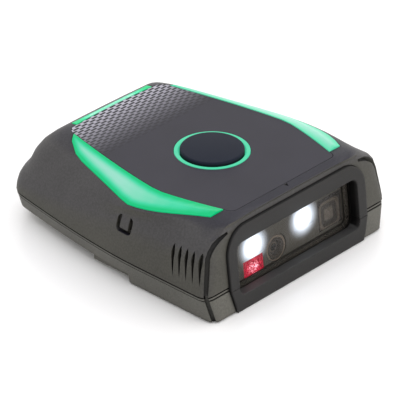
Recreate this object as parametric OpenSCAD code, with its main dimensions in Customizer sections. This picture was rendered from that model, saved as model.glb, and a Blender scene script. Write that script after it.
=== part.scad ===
// Wearable barcode scanner: a palm sized housing in two moulded shells, worn on the back of the hand.
// X runs across the housing, the scan window faces -Y, and the underside rests on Z = 0.
// The origin is the middle of the footprint, on the underside.

/* [Housing] */
// Width of the housing across the parting line
body_w = 50; // [48:0.5:58]
// Length of the housing along the parting line
body_l = 55.3; // [54:0.1:64]
// Height of the flat top above the underside
body_h = 17.9; // [17.4:0.1:21]
// Height of the parting line above the underside
seam_z = 5.8; // [5.4:0.1:6.4]
// Thickness of the side walls and the rear wall
wall = 1.8; // [1.5:0.1:2.2]
// Thickness of the front wall that carries the window
front_wall = 3.2; // [3.1:0.1:3.6]
// Lean of the front face, in degrees from upright
front_lean = 7; // [4:0.5:9]
// Thickness of the roof, with the pocket for the top panel
roof_t = 2.6; // [2.4:0.1:3]
// Thickness of the floor
floor_t = 1.6; // [1.2:0.1:1.8]
// Distance behind the front face at which the sides start to draw in
taper_start = 19.1; // [16:0.1:22]
// How far each side draws in from there to the rear end
rear_taper = 4.6; // [3:0.1:6]
// Lean of the upper side walls, as inward run for each unit of height
upper_draft = 0.13; // [0.1:0.01:0.2]
// Lean of the lower side walls, as inward run for each unit of height
lower_draft = 0.27; // [0.2:0.01:0.32]
// Height of the shoulder line at the front corners
shoulder_front_z = 15.4; // [14.8:0.1:16]
// Height of the shoulder line where the sides end at the rear
shoulder_rear_z = 7.2; // [6.8:0.1:8]
// Height of the shoulder line across the rear end
shoulder_end_z = 9.4; // [8:0.1:10]
// Radius that softens the shoulder line
shoulder_r = 3; // [1:0.1:3.5]
// Radius of the upright corners at the front
front_corner_r = 2; // [1.4:0.1:2.4]
// Radius of the upright corners at the rear
rear_corner_r = 4.3; // [3:0.1:6]
// How far the middle of the rear end bows out
rear_bow = 0.5; // [0:0.1:1]
// How far the slope behind the strips bulges out
rear_fullness = 0.8; // [0.2:0.1:1.2]
// Distance of the lower edge of the seam's lip below the parting line
lip_h = 0.9; // [0.8:0.1:1.2]
// How far the seam's lip stands back from the walls
lip_depth = 0.12; // [0.05:0.01:0.2]
// Height of the open seam above the lip
seam_gap = 0.35; // [0.2:0.05:0.4]
// Depth of the seam's two lines
seam_depth = 0.5; // [0.3:0.05:0.6]

/* [Top panel] */
// Width of the top panel at its front end
panel_front_w = 28.8; // [26:0.2:31]
// Width of the top panel at its widest place
panel_mid_w = 35.1; // [33:0.1:36]
// Width of the top panel at its rear end
panel_rear_w = 26; // [24:0.2:28]
// Distance of the top panel's front edge behind the front face
panel_front_gap = 3.6; // [3:0.1:4.5]
// Distance of the top panel's rear edge before the rear end
panel_rear_gap = 8.5; // [8:0.1:10]
// Distance of the widest place behind the front face
waist_y = 18.8; // [16:0.1:21]
// Thickness of the top panel
panel_t = 0.8; // [0.5:0.1:1]

/* [Light strips] */
// Width across both side strips at their widest place
strip_mid_w = 44.4; // [43:0.1:45]
// Width across both side strips at their rear ends
strip_rear_w = 32.6; // [31:0.1:34]
// Width across both side strips at their front ends
strip_front_w = 35.4; // [34:0.1:37]
// Slope of the side strips along the rear and the middle, in degrees
strip_slope = 24; // [18:1:27]
// Width of the rear strip
rear_strip_w = 1.4; // [1.2:0.1:2]
// Length of the rear strip
rear_strip_l = 20.4; // [16:0.2:21]
// Slope of the rear strip, in degrees
rear_strip_slope = 10; // [4:1:12]
// Thickness of the light strips
strip_t = 1.2; // [0.9:0.1:1.4]
// How far the light strips stand proud of the housing
strip_proud = 0.1; // [0.05:0.05:0.2]
// Crown of the side strips along their middle
strip_crown = 0.25; // [0:0.05:0.4]

/* [Trigger button] */
// Distance of the button's centre behind the front face
button_y = 21.6; // [20.6:0.1:22.4]
// Diameter of the button
button_d = 12.1; // [10.6:0.1:12.6]
// Outer diameter of the light ring round the button
ring_d = 14.2; // [13.8:0.1:15]
// Running gap between the button and its ring
button_gap = 0.15; // [0.1:0.05:0.2]
// How far the button stands above the top panel
button_proud = 0.65; // [0.5:0.05:0.8]
// Travel of the button when it is pressed
button_travel = 0.5; // [0.3:0.05:0.6]
// Radius of the button's rounded rim
button_rim_r = 0.4; // [0.2:0.05:0.5]
// Width of the flange that holds the button in
button_flange = 0.9; // [0.7:0.1:1]
// Thickness of the flanges on the button and on the ring
flange_t = 0.8; // [0.6:0.1:0.9]

/* [Scan window] */
// Width of the front bezel
bezel_w = 37.5; // [36.6:0.1:38.4]
// Drop of the bezel's upper edge below the flat top
bezel_drop = 1.4; // [1.2:0.1:2]
// Radius of the bezel's upper corners
bezel_r = 5.1; // [3.5:0.1:5.6]
// How far the bezel stands proud of the front face
bezel_proud = 0.5; // [0.3:0.1:0.8]
// Distance of the bezel's own joint line below the parting line
bezel_split = 0.9; // [0.7:0.1:1.6]
// Width of the window opening
window_w = 33; // [31:0.1:33.4]
// Height of the bezel's bar above the window opening
window_bar = 3.1; // [2.6:0.1:3.6]
// Height of the opening's lower edge above the underside
window_z = 3; // [2.9:0.1:3.4]
// Radius of the opening's corners
window_r = 1.6; // [1:0.1:2.4]
// Depth of the glass behind the face of the bezel
window_recess = 2.3; // [2.1:0.1:2.4]
// Overlap of the glass behind the bezel, on every side
glass_lap = 0.7; // [0.5:0.1:0.8]
// Thickness of the window glass
glass_t = 1; // [0.8:0.1:1]

/* [Grip and latch details] */
// Number of grip slots on each side
slot_count = 5; // [3:1:6]
// Distance between two grip slots
slot_pitch = 1.62; // [1.5:0.01:1.7]
// Width of a grip slot
slot_w = 0.8; // [0.5:0.1:1]
// Height of a grip slot
slot_h = 6.4; // [5:0.1:7]
// Depth of a grip slot
slot_depth = 1; // [0.4:0.1:1.1]
// Distance of the foremost grip slot behind the front face
slot_front_gap = 2.3; // [2:0.1:2.6]
// Length of the latch recess in each side
latch_l = 3.9; // [3.6:0.1:5]
// Height of the latch recess
latch_h = 3.2; // [2.8:0.1:3.6]
// Depth of the latch recess
latch_depth = 1.2; // [0.8:0.1:1.3]
// Width of the tongue that stands in the latch recess
latch_tongue = 2.1; // [1:0.1:2.2]
// Width of the groove round each front corner
groove_w = 0.9; // [0.5:0.1:1.2]
// Depth of the groove round each front corner
groove_depth = 1; // [0.6:0.1:1.2]

/* [Underside] */
// Length of the deep front part of the base
base_front_l = 20.3; // [19:0.1:21]
// Rise of the base behind its deep front part
base_rise = 2.5; // [2.2:0.1:2.7]
// Length of the block behind the front part
step_l = 10; // [8:0.1:12]
// Height of that block's face above the underside
step_z = 1; // [0.7:0.1:1.2]
// Width of that block
step_w = 45.4; // [42:0.2:45.6]
// Width of the cradle rail
rail_w = 26; // [22:0.2:27]
// Length of the cradle rail
rail_l = 18; // [14:0.2:18.4]
// Depth of the undercut along the cradle rail
rail_undercut = 1.2; // [0.8:0.1:1.5]
// Thickness of the cradle rail's lip
rail_lip = 0.9; // [0.7:0.1:1.1]

/* [Inner parts] */
// Width of the battery cell
battery_w = 23; // [18:0.5:23.5]
// Gap between the scan engine and the battery cell
battery_gap = 3.8; // [3:0.1:8]
// Thickness of the battery cell
battery_t = 5; // [4:0.1:5.2]
// Width of the main board
board_w = 34; // [30:0.5:35]
// Distance of the main board before the rear end
board_rear_gap = 8; // [7.6:0.1:9]
// Thickness of the main board
board_t = 1; // [0.8:0.1:1.2]
// Height of the main board's lower face above the underside
board_z = 9.8; // [9.6:0.1:10]
// Width of the scan engine
engine_w = 30; // [28:0.5:31]
// Length of the scan engine
engine_l = 10; // [9:0.1:10.4]
// Gap between the scan engine and the roof
engine_roof_gap = 1.6; // [1.4:0.1:3]
// Height of the engine's seat above the floor
engine_seat = 0.3; // [0.2:0.1:0.6]
// Thickness of the engine's face plate
face_t = 0.6; // [0.4:0.1:0.8]
// Diameter of the camera lens
lens_d = 5.2; // [4.4:0.1:5.4]
// Diameter of the housing screws
screw_d = 2; // [1.6:0.1:2.2]
// Head diameter of the housing screws
screw_head_d = 3.6; // [3.2:0.1:3.8]
// Length of the housing screws
screw_l = 7.5; // [6.5:0.1:8.5]
// Distance of the front screws from the middle
screw_front_x = 19.4; // [19:0.1:20]
// Distance of the front screws behind the front face
screw_front_gap = 10.3; // [9.6:0.1:11]
// Distance of the rear screws from the middle
screw_rear_x = 15.6; // [15:0.1:16]
// Distance of the rear screws before the rear end
screw_rear_gap = 9.6; // [9:0.1:10]
// Diameter of the screw bosses
boss_d = 4.4; // [4.2:0.1:4.8]
// Number of charging contacts
pin_count = 5; // [3:1:6]
// Diameter of a charging contact
pin_d = 1.1; // [0.8:0.1:1.3]
// Distance between two charging contacts
pin_pitch = 2.2; // [1.8:0.1:2.2]
// Gap left round a piece that is dropped into its pocket
fit_gap = 0.08; // [0.05:0.01:0.12]

/* [Hidden] */

$fn = 48;
eps = 0.01;
overrun = 1;

// The front face leans back about the parting line, so that the bezel's foot reaches furthest
front_reach = bezel_proud / cos(front_lean) + seam_z * tan(front_lean);
front_y = (front_reach - body_l) / 2;
rear_y = front_y + body_l;
function front_at(z) = front_y + (z - seam_z) * tan(front_lean);
module leaning() {
  translate([0, front_y, seam_z]) rotate([-front_lean, 0, 0]) translate([0, -front_y, -seam_z]) children();
}

button_cy = front_y + button_y;

// Stations round each ring of the lofted shells
n_front = 3;
n_front_corner = 4;
n_flank = 16;
n_rear_corner = 7;
n_rear = 3;

function mix(a, b, t) = a + (b - a) * t;
function clamp(v) = min(1, max(0, v));
function ease(t) = t * t * (3 - 2 * t);
function past(a, b, v) = clamp((v - a) / (b - a));

// Half width of the housing at the parting line, straight at the front and drawn in behind the middle
taper_y = front_y + taper_start;
function seam_half(y) = body_w / 2 - rear_taper * pow(past(taper_y, rear_y, y), 1.5);

// Height of the shoulder line, which falls towards the rear
function shoulder_z(y) = mix(shoulder_front_z, shoulder_rear_z, past(front_y, rear_y, y));

// Half widths of the top panel and of the line along the outer edge of the side strips
panel_corner = [1.8, 2];
panel_y0 = front_y + panel_front_gap + panel_corner[0];
panel_y1 = rear_y - panel_rear_gap - panel_corner[1];
waist = front_y + waist_y;
function panel_half(y) = y < waist
  ? mix(panel_mid_w, panel_front_w, pow(past(waist, panel_y0, y), 1.3)) / 2
  : mix(panel_mid_w, panel_rear_w, pow(past(waist, panel_y1, y), 1.3)) / 2;

// The strips end a little behind the panel's front corners and well before its rear corners
strip_front_set = 0.2;
strip_rear_set = 2;
strip_bend = 3.6;
strip_y0 = panel_y0 + strip_front_set;
strip_y1 = panel_y1 - strip_rear_set;
bend_y = waist + strip_bend;
function strip_half(y) = y < bend_y
  ? mix(strip_mid_w, strip_front_w, pow(past(bend_y, strip_y0, y), 2)) / 2
  : mix(strip_mid_w, strip_rear_w, past(bend_y, strip_y1, y)) / 2;
function strip_fall(y) = tan(mix(strip_slope, 4, ease(past(waist + 2, strip_y0, y))));
function strip_z(y) = body_h - strip_fall(y) * (strip_half(y) - panel_half(y));

// One closed ring, mirrored about X = 0. The flank runs from front to rear, and front and rear are
// the ends of the corners on the front edge and on the rear edge.
function quarter_front(front, a) = [for (i = [0:n_front_corner])
  let (t = i / n_front_corner, angle = -90 + 90 * t)
  [mix(front.x, a.x, cos(angle)), mix(a.y, front.y, -sin(angle)), mix(front.z, a.z, ease(t))]];
function quarter_rear(b, before, rear) =
  let (start = atan((before.x - b.x) / (b.y - before.y)),
       rx = (b.x - rear.x) / cos(start), ry = (rear.y - b.y) / (1 - sin(start)))
  [for (i = [1:n_rear_corner])
    let (t = i / n_rear_corner, angle = mix(start, 90, t))
    [rear.x + rx * cos(angle), rear.y - ry + ry * sin(angle), mix(b.z, rear.z, ease(t))]];
function half_ring(flank, front, rear, bow) = let (last = len(flank) - 1) concat(
  [for (i = [0:n_front - 1]) [front.x * i / n_front, front.y, front.z]],
  quarter_front(front, flank[0]),
  [for (i = [1:last]) flank[i]],
  quarter_rear(flank[last], flank[last - 1], rear),
  [for (i = [1:n_rear]) let (t = 1 - i / n_rear) [rear.x * t, rear.y + bow * (1 - t * t), rear.z]]
);
function mirrored(half) = concat(half, [for (i = [len(half) - 2:-1:1]) [-half[i].x, half[i].y, half[i].z]]);
function ring(flank, front, rear, bow = 0) = mirrored(half_ring(flank, front, rear, bow));
function plan(points) = [for (p = points) [p.x, p.y]];

// Named rings of the housing. Each takes an inset, so that cavities and gaskets follow the same lines.
seam_y1 = rear_y - rear_corner_r;
// Step between the stations of an inset ring, so that none of them lies before its front edge
station = 0.2;
function flank_y(z, i, front_inset) =
  max(mix(front_at(z) + front_corner_r, seam_y1, i / n_flank), front_at(z) + front_inset + station * i);
function seam_ring(inset, front_inset, z) = ring(
  [for (i = [0:n_flank]) let (y = flank_y(z, i, front_inset)) [seam_half(y) - inset, y, z]],
  [body_w / 2 - front_corner_r - inset * 0.8, front_at(z) + front_inset, z],
  [seam_half(seam_y1) - rear_corner_r, rear_y - rear_bow - inset, z],
  rear_bow
);
function shoulder_half(y) = seam_half(y) - upper_draft * (shoulder_z(y) - seam_z);
// The shoulder line turns in at the front, at this distance from the side and below the top
brow_in = 5.5;
brow_drop = 1.6;
brow_z = body_h - brow_drop;
shoulder_rear_in = 0.4;
function shoulder_ring(inset, front_inset, drop, front_drop) = ring(
  [for (i = [0:n_flank]) let (y = flank_y(shoulder_front_z, i, front_inset))
    [shoulder_half(y) - inset, y, shoulder_z(y) - drop]],
  [body_w / 2 - brow_in - inset, front_at(brow_z) + front_inset, brow_z - front_drop],
  [seam_half(seam_y1) - rear_corner_r, rear_y - rear_bow - shoulder_rear_in - inset, shoulder_end_z - drop],
  rear_bow
);
panel_rear_y = rear_y - panel_rear_gap;
// The panel's rear edge bows out over the middle of the rear strip
panel_bow = 0.45;
top_rear_y = panel_rear_y + rear_strip_w;
function rear_slope_z(y) = body_h - tan(rear_strip_slope) * (y - panel_rear_y);
top_edge = [3.5, 0.5, 0.4];
rear_end_spare = 0.6;
function strip_ring(inset, front_inset, drop) = ring(
  [for (i = [0:n_flank]) let (y = mix(strip_y0, strip_y1, i / n_flank))
    [strip_half(y) - inset, max(y, front_at(body_h) + front_inset + station * (i + 2)), strip_z(y) - drop]],
  [strip_front_w / 2 - top_edge[0] - inset, front_at(body_h) + max(top_edge[1], front_inset + station),
   body_h - top_edge[2] - drop],
  [rear_strip_l / 2 + rear_end_spare, top_rear_y - inset, rear_slope_z(top_rear_y) - drop]
);
function panel_ring(inset, z) = ring(
  [for (i = [0:n_flank]) let (y = mix(panel_y0, panel_y1, i / n_flank)) [panel_half(y) - inset, y, z]],
  [panel_front_w / 2 - 1.5 - inset, front_y + panel_front_gap + inset, z],
  [panel_rear_w / 2 - 2, panel_rear_y - inset, z],
  panel_bow
);

// A solid between rings that have the same number of points. A fan round a middle point closes each end.
function average(points) = [for (i = [0:len(points) - 1]) 1] * points / len(points);
module loft(rings) {
  n = len(rings[0]);
  end = (len(rings) - 1) * n;
  foot = len(rings) * n;
  points = concat([for (r = rings) each r], [average(rings[0]), average(rings[len(rings) - 1])]);
  sides = [for (i = [0:len(rings) - 2], j = [0:n - 1])
    let (a = i * n + j, b = i * n + (j + 1) % n) each [[a, a + n, b + n], [a, b + n, b]]];
  first = [for (j = [0:n - 1]) [j, (j + 1) % n, foot]];
  last = [for (j = [0:n - 1]) [end + (j + 1) % n, end + j, foot + 1]];
  polyhedron(points, concat(sides, first, last));
}

// Rings that round the shoulder: a curve from the wall below it to the slope above it
function toward(from, to, reach, share) =
  from + (to - from) * min(share, reach / max(eps, norm(to - from)));
function shoulder_curve(low, mid, high, t) = [for (i = [0:len(mid) - 1])
  let (a = toward(mid[i], low[i], shoulder_r, 0.6), b = toward(mid[i], high[i], shoulder_r, 0.8))
  a * (1 - t) * (1 - t) + mid[i] * 2 * t * (1 - t) + b * t * t];
side_fullness = 0.22;
function blend_ring(a, b, t) = [for (i = [0:len(a) - 1])
  let (p = mix(a[i], b[i], t), r = max(1, norm([p.x, p.y])),
       lift = mix(side_fullness, rear_fullness, ease(past(0, rear_y, p.y))) * 4 * t * (1 - t))
  p + [p.x / r, p.y / r, 1] * lift];

module upper_form() {
  low = seam_ring(0, 0, seam_z);
  mid = shoulder_ring(0, 0, 0, 0);
  high = strip_ring(0, 0, 0);
  top = shoulder_curve(low, mid, high, 1);
  loft([
    low,
    shoulder_curve(low, mid, high, 0),
    shoulder_curve(low, mid, high, 0.35),
    shoulder_curve(low, mid, high, 0.65),
    top,
    blend_ring(top, high, 0.25),
    blend_ring(top, high, 0.5),
    blend_ring(top, high, 0.75),
    high,
    panel_ring(0, body_h)
  ]);
}

module upper_cavity() {
  loft([
    seam_ring(wall, front_wall, seam_z - overrun),
    seam_ring(wall, front_wall, seam_z),
    shoulder_ring(wall, front_wall, 0.8, roof_t - 1.2),
    strip_ring(wall - 0.2, front_wall, roof_t - 0.3),
    panel_ring(0.5, body_h - roof_t)
  ]);
}

// Places that take screws, as [x, y], on the right side
screw_spots = [[screw_front_x, front_y + screw_front_gap], [screw_rear_x, rear_y - screw_rear_gap]];
head_h = 1.4;
head_sink = 0.5;
head_z = [head_sink, base_rise + head_sink];
module at_screws() {
  for (side = [-1, 1], spot = screw_spots) translate([side * spot.x, spot.y, 0]) children();
}
module on_both_sides() {
  for (side = [0, 1]) mirror([side, 0, 0]) children();
}

// Cutters that follow the lean of the upper side wall, drawn as if that wall stood at X = 0
module on_upper_wall(y) {
  translate([seam_half(y), y, seam_z]) rotate([0, -atan(upper_draft), 0]) children();
}

// Height of the slots' lower ends above the parting line, and the rise from one slot to the next
slot_z = 1.5;
slot_rise = 0.1;
// Centre line and width of a slot, as [share of its height, set towards the rear, share of its width]
slot_line = [[0, -0.6, 0], [0.25, -0.35, 0.4], [0.5, -0.15, 0.65], [0.72, 0, 1], [0.9, 0, 0.6], [1, 0, 0]];
module slot_outline() {
  polygon(concat(
    [for (p = slot_line) slot_w * [p[1] - p[2] / 2, 0] + [0, slot_h * p[0]]],
    [for (i = [len(slot_line) - 2:-1:1]) let (p = slot_line[i]) slot_w * [p[1] + p[2] / 2, 0] + [0, slot_h * p[0]]]
  ));
}
module grip_slots() {
  for (i = [0:slot_count - 1]) {
    y = front_y + slot_front_gap + i * slot_pitch;
    on_upper_wall(y) translate([-slot_depth, 0, slot_z + slot_rise * (slot_count - 1 - i)])
      rotate([90, 0, 90]) linear_extrude(slot_depth + overrun) slot_outline();
  }
}

// Latch recess: its middle above the parting line and before the button, and the gap under its tongue
latch_z = 6.6;
latch_set = 0.3;
latch_r = 0.9;
latch_gap = 0.8;
module latch_recess() {
  on_upper_wall(button_cy - latch_set) translate([-latch_depth, 0, latch_z]) difference() {
    rotate([90, 0, 90]) linear_extrude(latch_depth + overrun * 2) rounded_rect(latch_l, latch_h, latch_r);
    translate([-overrun, -latch_tongue / 2, latch_gap - latch_h / 2])
      cube([latch_depth + overrun * 0.9, latch_tongue, latch_h]);
  }
}

// Groove round the rim of the front face, from under the corner up to where it fades on the brow.
// Its path is drawn in the plane of the front face, as [x, z, share of the groove's size, set behind it].
rim_share = 0.7;
rim_flat = body_w / 2 - front_corner_r * (1 - rim_share);
rim_turn_z = shoulder_front_z - 2.4;
function rim_side(z) = rim_flat - (z > seam_z ? upper_draft * 1.5 * (z - seam_z) : lower_draft * (seam_z - z));
rim_set = 0.25 * front_corner_r;
rim_path = concat(
  [for (z = [-overrun, seam_z / 2, seam_z]) [rim_side(z), z, 0.85, rim_set]],
  [for (t = [0.35, 0.7, 1]) let (z = mix(seam_z, rim_turn_z, t)) [rim_side(z), z, 1, rim_set]],
  [for (p = [[-0.7, 1.2, 1, 0.4], [-1.8, 2.2, 1, 0.3], [-3.2, 2.8, 0.8, 0.25], [-5.2, 3.2, 0.4, 0.2]])
    [rim_side(rim_turn_z) + p[0], rim_turn_z + p[1], p[2], p[3]]]
);
function rim_section(i) =
  let (a = rim_path[max(0, i - 1)], b = rim_path[min(len(rim_path) - 1, i + 1)],
       along = [b.x - a.x, 0, b.y - a.y] / norm([b.x - a.x, b.y - a.y]),
       side = [along.z, 0, -along.x], front = [0, -1, 0],
       out = (side + front) / sqrt(2), across = (side - front) / sqrt(2) * groove_w / 2,
       size = rim_path[i].z, middle = [rim_path[i].x, front_y + rim_path[i][3], rim_path[i].y])
  [middle + out * groove_w - across * size, middle + out * groove_w + across * size,
   middle + (across - out * groove_depth) * size, middle - (across + out * groove_depth) * size];
module rim_groove() {
  leaning() loft([for (i = [0:len(rim_path) - 1]) rim_section(i)]);
}

// Small moulded tick in front of the top panel
tick_d = 1;
tick_depth = 0.25;
module front_tick() {
  translate([0, front_y + panel_front_gap - 0.4, body_h - tick_depth]) rotate([0, 0, 30])
    cylinder(d = tick_d, h = overrun, $fn = 3);
}

// Front view of the bezel, of the opening and of the glass, drawn in the plane of the front face
module rounded_rect(w, h, r) {
  square([w - 2 * r, h], center = true);
  square([w, h - 2 * r], center = true);
  for (x = [-1, 1], y = [-1, 1]) translate([x * (w / 2 - r), y * (h / 2 - r)]) circle(r);
}
bezel_draw_in = 1.6;
module bezel_outline(gap) {
  w = bezel_w + 2 * gap;
  h = body_h - bezel_drop + gap;
  r = bezel_r + gap;
  foot = w / 2 - bezel_draw_in;
  translate([-w / 2, seam_z - bezel_split]) square([w, h - r - seam_z + bezel_split]);
  translate([-w / 2 + r, seam_z]) square([w - 2 * r, h - seam_z]);
  for (x = [-1, 1]) translate([x * (w / 2 - r), h - r]) circle(r);
  polygon([[-w / 2, seam_z], [-w / 2, seam_z - bezel_split], [-foot, -overrun],
           [foot, -overrun], [w / 2, seam_z - bezel_split], [w / 2, seam_z]]);
}
window_top = body_h - bezel_drop - window_bar;
window_h = window_top - window_z;
module window_shape(grow) {
  translate([0, window_z + window_h / 2])
    rounded_rect(window_w + 2 * grow, window_h + 2 * grow, window_r + grow);
}
// Extrudes a front view backwards between two depths behind the leaning front face
module front_slab(y0, y1) {
  leaning() translate([0, front_y + y1, 0]) rotate([90, 0, 0]) linear_extrude(y1 - y0) children();
}
glass_y = window_recess - bezel_proud;

module front_cuts() {
  front_slab(-overrun, glass_y) bezel_outline(fit_gap);
  front_slab(glass_y - eps, front_wall + overrun) window_shape(glass_lap + fit_gap);
}

// Upper shell
ring_flange_r = ring_d / 2 + 1.2;
// Share of its width that a side strip has at each station, which rounds its rear end
strip_round = 0.14;
function strip_share(t) = mix(0.45, 1, sqrt(1 - pow(past(1 - strip_round, 1, t), 2)));
module strip_sections(gap, inner_gap, proud, crown, depth) {
  loft([for (i = [0:n_flank])
    let (t = i / n_flank,
         yo = mix(strip_y0, strip_y1, t), yi = mix(panel_y0, panel_y1, t),
         end_gap = i == 0 ? gap : i == n_flank ? -gap : 0,
         full = [strip_half(yo) - gap, yo + end_gap, strip_z(yo)],
         edge = [panel_half(yi), yi + end_gap, body_h],
         inner = edge + (full - edge) / norm(full - edge) * inner_gap,
         outer = mix(inner, full, strip_share(t)),
         middle = (outer + inner) / 2)
    [inner + [0, 0, proud], middle + [0, 0, proud + crown], outer + [0, 0, proud],
     outer - [0, 0, depth], inner - [0, 0, depth]]
  ]);
}
module side_strip() {
  strip_sections(fit_gap, fit_gap, strip_proud, strip_crown, strip_t);
}
module side_strip_pocket() {
  strip_sections(-fit_gap / 2, -0.3, overrun, 0, strip_t + fit_gap);
}
module rear_strip_solid(gap, proud, depth) {
  l = rear_strip_l - 2 * gap;
  y0 = panel_rear_y + gap;
  y1 = top_rear_y - gap;
  translate([-l / 2, 0, 0]) rotate([90, 0, 90]) linear_extrude(l) polygon([
    [y0, rear_slope_z(y0) - depth], [y1, rear_slope_z(y1) - depth],
    [y1, rear_slope_z(y1) + proud], [y0, rear_slope_z(y0) + proud]
  ]);
}

boss_top = body_h - roof_t + overrun;
pilot_spare = 0.4;
module pilot_holes() {
  for (side = [-1, 1], i = [0, 1]) translate([side * screw_spots[i].x, screw_spots[i].y, seam_z - eps])
    cylinder(d = screw_d + 2 * fit_gap, h = head_z[i] + screw_l + pilot_spare - seam_z);
}
module upper_shell() {
  color([0.22, 0.22, 0.21]) difference() {
    upper_form();
    difference() {
      upper_cavity();
      at_screws() translate([0, 0, seam_z]) cylinder(d = boss_d, h = boss_top - seam_z);
    }
    pilot_holes();
    translate([0, 0, body_h - panel_t]) linear_extrude(panel_t + overrun) polygon(plan(panel_ring(0, 0)));
    on_both_sides() side_strip_pocket();
    rear_strip_solid(-fit_gap / 2, overrun, strip_t + fit_gap);
    translate([0, button_cy, 0]) cylinder(d = ring_d + 2 * fit_gap, h = body_h + overrun);
    on_both_sides() grip_slots();
    on_both_sides() latch_recess();
    on_both_sides() rim_groove();
    front_cuts();
    front_tick();
  }
}

// Lower shell
rear_floor = base_rise + floor_t;
base_y = front_y + base_front_l;
function lower_inset(z) = lower_draft * (seam_z - z);
bottom_round = 0.35;
line_h = 0.22;
seam_edge = 0.03;
module lower_form() {
  line_z = seam_z - lip_h;
  lip_z = seam_z - seam_gap;
  loft([
    seam_ring(lower_inset(0) + bottom_round, bottom_round, 0),
    seam_ring(lower_inset(bottom_round), 0, bottom_round),
    seam_ring(lower_inset(line_z), 0, line_z),
    seam_ring(seam_depth, seam_depth, line_z + seam_edge),
    seam_ring(seam_depth, seam_depth, line_z + line_h - seam_edge),
    seam_ring(lip_depth, lip_depth, line_z + line_h),
    seam_ring(lip_depth, lip_depth, lip_z),
    seam_ring(seam_depth, seam_depth, lip_z + seam_edge),
    seam_ring(seam_depth, seam_depth, seam_z)
  ]);
}
module lower_cavity() {
  loft([
    seam_ring(wall + lower_inset(floor_t), front_wall, floor_t),
    seam_ring(wall, front_wall, seam_z),
    seam_ring(wall, front_wall, seam_z + overrun)
  ]);
}

engine_face_d = front_wall + face_t;
engine_y = front_y + engine_face_d;
engine_z = floor_t + engine_seat;
engine_top = body_h - roof_t - engine_roof_gap;
post_d = 3;
post_spots = [[15.2, base_y - 2.4], [14.6, rear_y - 16]];
module lower_stands() {
  at_screws() cylinder(d = boss_d, h = seam_z);
  on_both_sides() for (spot = post_spots) translate([spot.x, spot.y, 0]) cylinder(d = post_d, h = board_z);
  translate([-body_w, base_y, 0]) cube([body_w * 2, body_l, rear_floor]);
  on_both_sides() translate([engine_w / 2 - 6, engine_y + 1, 0]) cube([3, engine_l - 2, engine_z]);
}

rail_y = base_y + step_l;
module base_details() {
  translate([-step_w / 2, base_y - eps, step_z]) cube([step_w, step_l, base_rise - step_z]);
  translate([-rail_w / 2 + rail_undercut, base_y - eps, 0])
    cube([rail_w - 2 * rail_undercut, step_l + rail_l, base_rise]);
  translate([-rail_w / 2, rail_y, 0]) cube([rail_w, rail_l, rail_lip]);
}

block_l = (pin_count + 0.6) * pin_pitch;
block_w = 4;
block_t = 1.4;
block_sink = 0.2;
pin_sink = 0.1;
block_y = rail_y + rail_l / 2;
module screw_holes() {
  for (side = [-1, 1], i = [0, 1]) translate([side * screw_spots[i].x, screw_spots[i].y, 0]) {
    translate([0, 0, -overrun]) cylinder(d = screw_d + 2 * fit_gap, h = seam_z + 2 * overrun);
    translate([0, 0, -overrun]) cylinder(d = screw_head_d + 2 * fit_gap, h = overrun + head_z[i] + head_h);
  }
}
module lower_shell() {
  color([0.24, 0.24, 0.23]) difference() {
    union() {
      difference() {
        lower_form();
        translate([-body_w, base_y, -overrun]) cube([body_w * 2, body_l, overrun + base_rise]);
        difference() {
          lower_cavity();
          lower_stands();
        }
      }
      base_details();
      on_both_sides() for (spot = post_spots) translate([spot.x, spot.y, rear_floor - eps])
        cylinder(d = post_d, h = board_z - rear_floor + eps);
    }
    screw_holes();
    seam_gasket_space();
    front_cuts();
    on_both_sides() rim_groove();
    translate([-block_l / 2 - fit_gap, block_y - block_w / 2 - fit_gap, -overrun])
      cube([block_l + 2 * fit_gap, block_w + 2 * fit_gap, overrun + block_sink + block_t]);
  }
}

// Gasket that lies in a groove in the lower rim and stops at both sides of the window
gasket_in = 0.9;
gasket_front = 1.9;
gasket_w = 0.5;
gasket_h = 0.8;
gasket_stop = 0.6;
module gasket_shape(grow) {
  inner = gasket_in + gasket_w + grow;
  stop = bezel_w / 2 + gasket_stop - grow;
  difference() {
    polygon(plan(seam_ring(gasket_in - grow, gasket_front - grow, 0)));
    polygon(plan(seam_ring(inner, gasket_front + gasket_w + grow, 0)));
    translate([-stop, front_y - overrun]) square([2 * stop, gasket_front + gasket_w + 2 * overrun]);
  }
}
module seam_gasket_space() {
  translate([0, 0, seam_z - gasket_h]) linear_extrude(gasket_h + overrun) gasket_shape(fit_gap);
}
module seam_gasket() {
  color([0.08, 0.08, 0.08]) translate([0, 0, seam_z - gasket_h]) linear_extrude(gasket_h) gasket_shape(0);
}

// Top panel, light strips and light ring
module top_panel() {
  color([0.31, 0.3, 0.33]) difference() {
    translate([0, 0, body_h - panel_t]) linear_extrude(panel_t) polygon(plan(panel_ring(fit_gap, 0)));
    translate([0, button_cy, 0]) cylinder(d = ring_d + 2 * fit_gap, h = body_h + overrun);
  }
}
module light_strip_left() {
  color([0.1, 0.82, 0.5]) mirror([1, 0, 0]) side_strip();
}
module light_strip_right() {
  color([0.1, 0.82, 0.5]) side_strip();
}
module light_strip_rear() {
  color([0.1, 0.82, 0.5]) difference() {
    rear_strip_solid(fit_gap, strip_proud, strip_t);
    translate([0, 0, body_h - panel_t]) linear_extrude(panel_t + overrun) polygon(plan(panel_ring(0, 0)));
  }
}

ring_bottom = body_h - roof_t - flange_t;
module button_ring() {
  bore = button_d / 2 + button_gap;
  color([0.1, 0.82, 0.5]) translate([0, button_cy, 0]) rotate_extrude() polygon([
    [bore, ring_bottom], [ring_flange_r, ring_bottom], [ring_flange_r, ring_bottom + flange_t],
    [ring_d / 2, ring_bottom + flange_t], [ring_d / 2, body_h + 0.05],
    [bore + 0.2, body_h + 0.05], [bore, body_h - 0.15]
  ]);
}

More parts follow.
